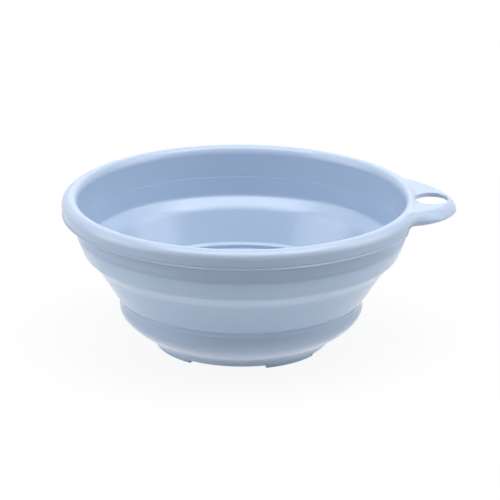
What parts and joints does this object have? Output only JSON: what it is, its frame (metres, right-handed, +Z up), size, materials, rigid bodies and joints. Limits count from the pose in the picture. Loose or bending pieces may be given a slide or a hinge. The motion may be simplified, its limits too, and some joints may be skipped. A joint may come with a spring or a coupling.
{
  "type": "dishpan",
  "caption": "Round folding dishpan with a rolled rim, a hanging tab with a hole, a soft wall that turns inside out and a base pan on low foot pads.",
  "frame": {"origin": "floor level, below the middle of the outline; the basin's own axis is upright at x = -0.0145 m, y = 0", "axes": "+X from the basin's axis towards the hanging tab, +Z up out of the basin, +Y completes the right-handed frame"},
  "size_m": [0.329, 0.3, 0.128],
  "materials": {
    "rim_plastic": "pale blue-grey polypropylene, satin gloss",
    "pan_plastic": "pale blue-grey polypropylene, satin gloss",
    "soft_wall": "pale blue-grey thermoplastic rubber, satin",
    "foot_pad": "pale blue-grey thermoplastic rubber, matt"
  },
  "bodies": {
    "base": {"base_pan": "pan_plastic", "wall_root": "soft_wall", "fold_band": "soft_wall", "foot_1": "foot_pad", "foot_2": "foot_pad", "foot_3": "foot_pad", "foot_4": "foot_pad"},
    "rim": {"rim_frame": "rim_plastic", "wall_collar": "soft_wall"}
  },
  "joints": [
    {"name": "collapse", "type": "slide", "parent": "base", "child": "rim", "axis": [0, 0, -1], "range_m": [0, 0.078], "deforming": ["fold_band"]}
  ]
}
